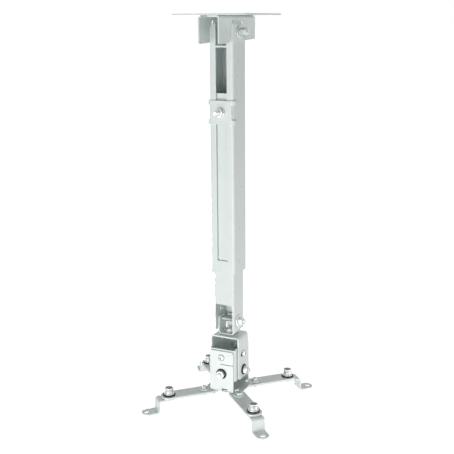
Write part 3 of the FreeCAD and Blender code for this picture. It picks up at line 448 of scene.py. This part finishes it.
def solids(node):
    """Lowest and highest corners of each separate solid in a CAD node, square to its fasteners."""
    mesh = bmesh.new()
    mesh.from_mesh(frame["nodes"][node].data)
    mesh.transform(spin_of(node).inverted())
    bmesh.ops.remove_doubles(mesh, verts=mesh.verts, dist=WELD_DISTANCE)
    waiting = set(mesh.verts)
    boxes = []
    while waiting:
        front = [waiting.pop()]
        low = front[0].co.copy()
        high = front[0].co.copy()
        while front:
            vertex = front.pop()
            low = Vector(map(min, low, vertex.co))
            high = Vector(map(max, high, vertex.co))
            for edge in vertex.link_edges:
                other = edge.other_vert(vertex)
                if other in waiting:
                    waiting.remove(other)
                    front.append(other)
        boxes.append((low, high))
    mesh.free()
    return boxes


def hex_radius(across, angle):
    """Distance from a hexagon's middle to its side at an angle, with a corner at nought."""
    sector = math.tau / HEX_SIDES
    return across / 2 / math.cos((angle % sector) - sector / 2)


def round_ring(radius, level):
    """A circle at a level."""
    return lambda angle: (radius, level)


def hex_ring(across, level):
    """A hexagon at a level."""
    return lambda angle: (hex_radius(across, angle), level)


def crown_radius(across):
    """Radius of the circle that a hexagon's chamfer starts from."""
    return CROWN_SHARE * across / 2


def chamfer_ring(across, level, fall):
    """Where a hexagon's side meets its chamfer, which falls from a circle at the given level."""
    def ring(angle):
        radius = hex_radius(across, angle)
        return radius, level - fall * (radius - crown_radius(across))
    return ring


def thread_rings(radius, depth, pitch, start, end):
    """Rings of a helical thread whose crests have the given radius."""
    def ring_at(level):
        def ring(angle):
            turn = (level / pitch - angle / math.tau) % 1.0
            return radius - depth * abs(2.0 * turn - 1.0), level
        return ring
    count = max(2, int((end - start) / pitch * THREAD_STEPS))
    return [ring_at(start + (end - start) * step / count) for step in range(count + 1)]


def skin(mesh, rings, hollow=False):
    """Join rings into a closed skin: capped at both ends, or closed on itself where it is hollow."""
    loops = []
    for ring in rings:
        loop = []
        for step in range(ROUND_STEPS):
            angle = math.tau * step / ROUND_STEPS
            radius, level = ring(angle)
            loop.append(mesh.verts.new((radius * math.cos(angle), radius * math.sin(angle), level)))
        loops.append(loop)
    pairs = list(zip(loops, loops[1:]))
    if hollow:
        pairs.append((loops[-1], loops[0]))
    else:
        mesh.faces.new(list(reversed(loops[0])))
        mesh.faces.new(loops[-1])
    for lower, upper in pairs:
        for step in range(ROUND_STEPS):
            after = (step + 1) % ROUND_STEPS
            mesh.faces.new((lower[step], lower[after], upper[after], upper[step]))


def shank_rings(family, start, length):
    """A threaded shank with a tapered point, from a start level."""
    share = bpy.context.scene.mount_fasteners.thread_share
    radius = family["shank"] / 2 * MM
    pitch = family["pitch"] * MM
    depth = share * pitch
    rings = [round_ring(radius - depth, start)]
    rings += thread_rings(radius, depth, pitch, start + THREAD_START * pitch, length - THREAD_END * pitch)
    rings.append(round_ring(radius - depth, length - POINT_START * pitch))
    rings.append(round_ring(radius - POINT_TAPER * depth, length))
    return rings


def hex_bolt(family, length):
    """Hexagon bolt: its seat at nought, its head below and its shank rising."""
    mesh = bmesh.new()
    slope = math.tan(bpy.context.scene.mount_fasteners.chamfer)
    across = family["across"] * MM
    head = family["head"] * MM
    face = FACE_SHARE * head
    crown = crown_radius(across)
    rings = [
        round_ring(DISH_FLOOR * crown, -head + face),
        round_ring(DISH_RIM * crown, -head),
        round_ring(crown, -head),
        chamfer_ring(across, -head, -slope),
        hex_ring(across, -face),
        round_ring(crown, -face),
        round_ring(crown, 0.0),
    ]
    rings += shank_rings(family, 0.0, length)
    skin(mesh, rings)
    return mesh


def hex_nut(family):
    """Hexagon nut from nought upward, chamfered on both sides, with a countersunk thread."""
    mesh = bmesh.new()
    slope = math.tan(bpy.context.scene.mount_fasteners.chamfer)
    across = family["across"] * MM
    height = family["nut"] * MM
    bore = (family["shank"] / 2 + family["play"]) * MM
    sink = SINK_SHARE * height
    crown = crown_radius(across)
    rings = [
        round_ring(bore, sink),
        round_ring(bore + sink, 0.0),
        round_ring(crown, 0.0),
        chamfer_ring(across, 0.0, -slope),
        chamfer_ring(across, height, slope),
        round_ring(crown, height),
        round_ring(bore + sink, height),
        round_ring(bore, height - sink),
    ]
    skin(mesh, rings, hollow=True)
    return mesh


def flat_ring(bore, radius, height):
    """Washer or pad from nought upward, with rounded rims."""
    mesh = bmesh.new()
    rim = min(bpy.context.scene.mount_fasteners.washer_round, RIM_LIMIT * height)
    near = RIM_NEAR * rim
    rings = [
        round_ring(bore, near),
        round_ring(bore + near, 0.0),
        round_ring(radius - rim, 0.0),
        round_ring(radius - near, near),
        round_ring(radius, rim),
        round_ring(radius, height - rim),
        round_ring(radius - near, height - near),
        round_ring(radius - rim, height),
        round_ring(bore + near, height),
        round_ring(bore, height - near),
    ]
    skin(mesh, rings, hollow=True)
    return mesh


def pan_screw(family, length):
    """Pan-headed screw with a cross recess: its seat at nought, its head below."""
    mesh = bmesh.new()
    radius = family["pan"] / 2 * MM
    head = family["head"] * MM
    rings = []
    for step in range(PAN_STEPS + 1):
        turn = math.pi / 2 * step / PAN_STEPS
        reach = PAN_CROWN + (1.0 - PAN_CROWN) * math.sin(turn)
        rise = PAN_SIDE + (1.0 - PAN_SIDE) * math.cos(turn)
        rings.append(round_ring(radius * reach, -head * rise))
    rings += [round_ring(radius, -PAN_FOOT * head), round_ring(PAN_SEAT * radius, 0.0)]
    rings += shank_rings(family, 0.0, length)
    skin(mesh, rings)
    return cut_cross(mesh, head)


def cut_cross(mesh, head):
    """Sink a tapered cross into the crown of a pan head."""
    sizes = bpy.context.scene.mount_fasteners
    crown = -head - CUT_OVERRUN
    floor = -head + sizes.recess_depth
    thickness = WING_SHARE * sizes.recess_width
    cutter = bmesh.new()
    for turn in (0.0, math.pi / 2):
        bar = bmesh.ops.create_cube(cutter, size=1.0)["verts"]
        for vertex in bar:
            deep = vertex.co.z > 0
            vertex.co.x *= sizes.recess_width * (WING_SPAN_LEFT if deep else 1.0)
            vertex.co.y *= thickness * (WING_THICKNESS_LEFT if deep else 1.0)
            vertex.co.z = floor if deep else crown
        bmesh.ops.rotate(cutter, verts=bar, matrix=Matrix.Rotation(turn, 3, "Z"))
    parts = []
    for name, source in (("pan", mesh), ("cross", cutter)):
        data = bpy.data.meshes.new(name)
        source.to_mesh(data)
        source.free()
        piece = bpy.data.objects.new(name, data)
        bpy.context.scene.collection.objects.link(piece)
        parts.append(piece)
    cut = parts[0].modifiers.new("cross", "BOOLEAN")
    cut.operation = "DIFFERENCE"
    cut.solver = "EXACT"
    cut.use_self = True
    cut.object = parts[1]
    done = parts[0].evaluated_get(bpy.context.evaluated_depsgraph_get())
    result = bmesh.new()
    result.from_mesh(done.data)
    for piece in parts:
        data = piece.data
        bpy.data.objects.remove(piece)
        bpy.data.meshes.remove(data)
    return result


def seat_matrix(place, direction):
    """Put a turned piece's seat at a place, its shank along a direction."""
    return Matrix.Translation(place) @ UP.rotation_difference(direction).to_matrix().to_4x4()


def stand_for(node, mesh, finish):
    """Make a mesh the piece that stands for a CAD node and rides on its body."""
    bmesh.ops.recalc_face_normals(mesh, faces=mesh.faces)
    data = bpy.data.meshes.new(node + "_turned")
    mesh.to_mesh(data)
    mesh.free()
    data.polygons.foreach_set("use_smooth", [True] * len(data.polygons))
    data.set_sharp_from_angle(angle=SMOOTH_ANGLE)
    piece = bpy.data.objects.new(node + "_turned", data)
    bpy.context.scene.collection.objects.link(piece)
    coat(piece, finish)
    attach(piece, NODE_BODY[node])
    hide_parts(node)
    return piece


def add_copy(target, source, matrix):
    """Add one turned piece, in its place, to the mesh of its node."""
    data = bpy.data.meshes.new("copy")
    source.to_mesh(data)
    data.transform(matrix)
    target.from_mesh(data)
    bpy.data.meshes.remove(data)


def facing(low, high, axis, way):
    """Direction along one axis: to its plus or minus end, or out from or in to the part's middle."""
    outward = 1.0 if (low + high)[axis] > 0 else -1.0
    direction = Vector((0.0, 0.0, 0.0))
    direction[axis] = {"plus": 1.0, "minus": -1.0, "out": outward, "in": -outward}[way]
    return direction


def fit_screws(node, family, maker, axis, way):
    """Screws for each solid of a node, with their shanks pointing the given way."""
    target = bmesh.new()
    head = family["head"] * MM
    for low, high in solids(node):
        direction = facing(low, high, axis, way)
        length = (high - low)[axis] - head
        place = (low + high) / 2
        place[axis] = low[axis] + head if direction[axis] > 0 else high[axis] - head
        source = maker(family, length)
        add_copy(target, source, spin_of(node) @ seat_matrix(place, direction))
        source.free()
    stand_for(node, target, "zinc_plate")


def fit_rings(node, maker, axis, finish, way="out"):
    """Nuts, washers or pads for each solid of a node, each standing up the given way."""
    target = bmesh.new()
    for low, high in solids(node):
        direction = facing(low, high, axis, way)
        place = (low + high) / 2
        place[axis] = low[axis] if direction[axis] > 0 else high[axis]
        source = maker(low, high)
        add_copy(target, source, spin_of(node) @ seat_matrix(place, direction))
        source.free()
    stand_for(node, target, finish)


def washer_maker(family, axis):
    """Washers of a screw family, as wide and high as their solids."""
    bore = (family["shank"] / 2 + WASHER_PLAY) * MM
    across = (axis + 1) % 3

    def maker(low, high):
        return flat_ring(bore, (high - low)[across] / 2, (high - low)[axis])
    return maker


def clamp_stud():
    """Square-headed stud: its seat at nought, its head below and its shank rising."""
    low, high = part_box("clamp_stud")
    side = (high - low).x
    length = (high - low).y - STUD_HEAD
    mesh = bmesh.new()
    block = bmesh.ops.create_cube(mesh, size=1.0)["verts"]
    for vertex in block:
        vertex.co = (vertex.co.x * side, vertex.co.y * side, (vertex.co.z - 0.5) * STUD_HEAD)
    bmesh.ops.bevel(mesh, geom=list(mesh.edges), offset=STUD_ROUND, segments=STUD_SEGMENTS,
                    affect="EDGES", profile=STUD_PROFILE)
    skin(mesh, shank_rings(LIGHT, -STUD_HEAD / 2, length))
    place = Vector((0.0, high.y - STUD_HEAD, (low.z + high.z) / 2))
    target = bmesh.new()
    add_copy(target, mesh, seat_matrix(place, Vector((0.0, -1.0, 0.0))))
    mesh.free()
    stand_for("clamp_stud", target, "zinc_plate")


def cap_nut(node):
    """Round cap nut: flange, waisted barrel and a wide socket in its crown above the bore."""
    low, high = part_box(node)
    tall = (high - low).z
    radii = {"bore": CAP_BORE, "flange": (high - low).x / 2, "barrel": CAP_BARREL, "socket": CAP_SOCKET}
    levels = {"seat": 0.0, "lip": CAP_LIP, "crown": tall, "floor": tall - CAP_SOCKET_DEPTH}
    mesh = bmesh.new()
    rings = []
    for edge, out, level, up in CAP_SECTION:
        rings.append(round_ring(radii[edge] + out * CAP_ROUND, levels[level] + up * CAP_ROUND))
    skin(mesh, rings, hollow=True)
    place = (low + high) / 2
    place.z = low.z
    bmesh.ops.translate(mesh, verts=mesh.verts, vec=place)
    stand_for(node, mesh, "zinc_plate")


# Operators


class MountPiece:
    """What the operators share."""

    bl_options = {"REGISTER", "UNDO"}


class MOUNT_OT_ceiling_fixing(MountPiece, bpy.types.Operator):
    """Finish the ceiling plate and its yoke"""

    bl_idname = "mount.ceiling_fixing"
    bl_label = "Ceiling plate and yoke"

    def execute(self, context):
        finish_sheet(SHEET_METAL["ceiling"])
        return {"FINISHED"}


class MOUNT_OT_mast(MountPiece, bpy.types.Operator):
    """Finish the slotted outer tube and the inner tube"""

    bl_idname = "mount.mast"
    bl_label = "Mast tubes"

    def execute(self, context):
        finish_sheet(SHEET_METAL["mast"])
        return {"FINISHED"}


class MOUNT_OT_clamp(MountPiece, bpy.types.Operator):
    """Finish the clamp collar and turn its stud, washer and nut"""

    bl_idname = "mount.clamp"
    bl_label = "Clamp"

    def execute(self, context):
        finish_sheet(SHEET_METAL["clamp"])
        clamp_stud()
        fit_rings("clamp_washer", washer_maker(LIGHT, 1), 1, "zinc_plate")
        fit_rings("clamp_nut", lambda low, high: hex_nut(LIGHT), 1, "zinc_plate")
        return {"FINISHED"}


class MOUNT_OT_head(MountPiece, bpy.types.Operator):
    """Finish the knuckle, the head yoke, the gimbal box and the hub bracket"""

    bl_idname = "mount.head"
    bl_label = "Knuckle and head"

    def execute(self, context):
        finish_sheet(SHEET_METAL["knuckle"])
        finish_sheet(SHEET_METAL["head"])
        return {"FINISHED"}


class MOUNT_OT_arms(MountPiece, bpy.types.Operator):
    """Finish the four arms and their folded feet"""

    bl_idname = "mount.arms"
    bl_label = "Arms and feet"

    def execute(self, context):
        finish_sheet(SHEET_METAL["arms"])
        finish_sheet(SHEET_METAL["feet"])
        return {"FINISHED"}


class MOUNT_OT_cross_bolts(MountPiece, bpy.types.Operator):
    """Turn the bolts, nuts and washers of the yoke, the knuckle and the swivel"""

    bl_idname = "mount.cross_bolts"
    bl_label = "Yoke, cross and swivel bolts"

    def execute(self, context):
        for name, family in (("yoke", HEAVY), ("cross", LIGHT)):
            fit_screws(name + "_bolt", family, hex_bolt, 0, "plus")
            fit_rings(name + "_nut", lambda low, high, kind=family: hex_nut(kind), 0, "zinc_plate")
            fit_rings(name + "_washers", washer_maker(family, 0), 0, "zinc_plate")
        fit_screws("swivel_bolt", LIGHT, hex_bolt, 2, "minus")
        fit_rings("swivel_nut", lambda low, high: hex_nut(LIGHT), 2, "zinc_plate", "minus")
        return {"FINISHED"}


class MOUNT_OT_gimbal_bolts(MountPiece, bpy.types.Operator):
    """Turn the bolts, black washers and nuts on the head's two axes, and the guide screws"""

    bl_idname = "mount.gimbal_bolts"
    bl_label = "Pitch and roll bolts"

    def execute(self, context):
        for motion, axis in (("pitch", 0), ("roll", 1)):
            fit_screws(motion + "_bolts", LIGHT, hex_bolt, axis, "out")
            fit_rings(motion + "_washers", washer_maker(LIGHT, axis), axis, "black_nylon")
            fit_rings(motion + "_nuts", lambda low, high: hex_nut(LIGHT), axis, "zinc_plate")
            fit_screws(motion + "_guide_bolts", SMALL, pan_screw, axis, "in")
            fit_rings(motion + "_guide_nuts", lambda low, high: hex_nut(SMALL), axis, "zinc_plate", "in")
        return {"FINISHED"}


class MOUNT_OT_arm_screws(MountPiece, bpy.types.Operator):
    """Turn the screws and nuts that hold the arms to the hub"""

    bl_idname = "mount.arm_screws"
    bl_label = "Arm screws"

    def execute(self, context):
        for name in ("arm_pivot", "arm_lock"):
            fit_screws(name + "_screws", SMALL, pan_screw, 2, "minus")
            fit_rings(name + "_nuts", lambda low, high: hex_nut(SMALL), 2, "zinc_plate", "minus")
        return {"FINISHED"}


class MOUNT_OT_foot_fixings(MountPiece, bpy.types.Operator):
    """Turn the feet's screws, black pads and cap nuts"""

    bl_idname = "mount.foot_fixings"
    bl_label = "Foot screws, pads and cap nuts"

    def execute(self, context):
        for corner in CORNERS:
            fit_screws("foot_screw_" + corner, SMALL, pan_screw, 2, "plus")
            fit_rings("pad_" + corner, washer_maker(SMALL, 2), 2, "black_nylon", "plus")
            cap_nut("cap_nut_" + corner)
        return {"FINISHED"}


def seeing_ray(tree):
    """One for rays from the camera, in reflections and through clear pieces, nought for the rest."""
    path = tree.nodes.new("ShaderNodeLightPath")
    result = path.outputs["Is Camera Ray"]
    for kind in ("Is Glossy Ray", "Is Transmission Ray"):
        either = tree.nodes.new("ShaderNodeMath")
        either.operation = "MAXIMUM"
        tree.links.new(result, either.inputs[0])
        tree.links.new(path.outputs[kind], either.inputs[1])
        result = either.outputs["Value"]
    return result


class MOUNT_OT_stage(MountPiece, bpy.types.Operator):
    """Set the pale floor, the studio light and the camera"""

    bl_idname = "mount.stage"
    bl_label = "Stage"

    def execute(self, context):
        stage = context.scene.mount_stage
        self.lay_floor(stage)
        self.light(context, stage)
        self.set_camera(context, stage)
        context.scene.view_settings.view_transform = "Standard"
        return {"FINISHED"}

    def lay_floor(self, stage):
        mesh = bmesh.new()
        corners = []
        for x, y in ((-1, -1), (1, -1), (1, 1), (-1, 1)):
            corners.append(mesh.verts.new((x * FLOOR_REACH, y * FLOOR_REACH, stage.floor_level)))
        mesh.faces.new(corners)
        data = bpy.data.meshes.new("floor")
        mesh.to_mesh(data)
        mesh.free()
        floor = bpy.data.objects.new("floor", data)
        bpy.context.scene.collection.objects.link(floor)
        material, tree, shader = principled("pale_floor")
        shader.inputs["Base Color"].default_value = stage.floor_colour
        shader.inputs["Roughness"].default_value = FLOOR_ROUGHNESS
        shader.inputs["Emission Color"].default_value = WHITE
        seen = tree.nodes.new("ShaderNodeMath")
        seen.operation = "MULTIPLY"
        seen.inputs[1].default_value = stage.floor_white
        tree.links.new(seeing_ray(tree), seen.inputs[0])
        tree.links.new(seen.outputs["Value"], shader.inputs["Emission Strength"])
        data.materials.append(material)

    def light(self, context, stage):
        world = bpy.data.worlds.new("studio")
        world.use_nodes = True
        context.scene.world = world
        tree = world.node_tree
        back = tree.nodes["Background"]
        back.inputs["Color"].default_value = WHITE
        strength = tree.nodes.new("ShaderNodeMapRange")
        strength.inputs["To Min"].default_value = stage.ambient
        strength.inputs["To Max"].default_value = 1.0
        tree.links.new(seeing_ray(tree), strength.inputs["Value"])
        tree.links.new(strength.outputs["Result"], back.inputs["Strength"])
        for name, (offset, width) in LAMPS.items():
            self.hang_lamp(context, name, getattr(stage, name + "_power"), offset, width)

    def hang_lamp(self, context, name, power, offset, width):
        """A square soft lamp that looks at the middle of the mount."""
        lamp = bpy.data.lights.new(name, "AREA")
        lamp.energy = power
        lamp.size = width
        holder = bpy.data.objects.new(name, lamp)
        context.scene.collection.objects.link(holder)
        holder.location = LAMP_AIM + offset
        holder.rotation_mode = "QUATERNION"
        holder.rotation_quaternion = (-offset).to_track_quat("-Z", "Y")

    def set_camera(self, context, stage):
        lens = bpy.data.cameras.new("camera")
        lens.lens = stage.camera_lens
        lens.sensor_width = SENSOR_WIDTH
        camera = bpy.data.objects.new("camera", lens)
        context.scene.collection.objects.link(camera)
        heading = Matrix.Rotation(stage.camera_heading, 4, "Z")
        pitch = Matrix.Rotation(math.pi / 2 - stage.camera_pitch, 4, "X")
        roll = Matrix.Rotation(stage.camera_roll, 4, "Z")
        camera.matrix_world = Matrix.Translation(stage.camera_place) @ heading @ pitch @ roll
        context.scene.camera = camera


OPERATORS = (MOUNT_OT_ceiling_fixing, MOUNT_OT_mast, MOUNT_OT_clamp, MOUNT_OT_head, MOUNT_OT_arms,
             MOUNT_OT_cross_bolts, MOUNT_OT_gimbal_bolts, MOUNT_OT_arm_screws, MOUNT_OT_foot_fixings,
             MOUNT_OT_stage)


class MOUNT_PT_sidebar(bpy.types.Panel):
    """The mount's pieces and settings"""

    bl_idname = "MOUNT_PT_sidebar"
    bl_label = "Ceiling mount"
    bl_space_type = "VIEW_3D"
    bl_region_type = "UI"
    bl_category = "Ceiling mount"

    def draw(self, context):
        layout = self.layout
        for operator in OPERATORS:
            layout.operator(operator.bl_idname)
        for group in SETTINGS:
            settings = getattr(context.scene, group)
            box = layout.box()
            for name in settings.__annotations__:
                box.prop(settings, name)


SETTINGS = {"mount_finish": MountFinish, "mount_fasteners": MountFasteners, "mount_stage": MountStage}


def register():
    for group in SETTINGS.values():
        bpy.utils.register_class(group)
    for name, group in SETTINGS.items():
        setattr(bpy.types.Scene, name, PointerProperty(type=group))
    for item in (*OPERATORS, MOUNT_PT_sidebar):
        bpy.utils.register_class(item)


def unregister():
    for item in reversed((*OPERATORS, MOUNT_PT_sidebar)):
        bpy.utils.unregister_class(item)
    for name in SETTINGS:
        delattr(bpy.types.Scene, name)
    for group in reversed(SETTINGS.values()):
        bpy.utils.unregister_class(group)


def main():
    register()
    bpy.ops.mount.ceiling_fixing()
    bpy.ops.mount.mast()
    bpy.ops.mount.clamp()
    bpy.ops.mount.head()
    bpy.ops.mount.arms()
    bpy.ops.mount.cross_bolts()
    bpy.ops.mount.gimbal_bolts()
    bpy.ops.mount.arm_screws()
    bpy.ops.mount.foot_fixings()
    bpy.ops.mount.stage()


if __name__ == "__main__":
    main()
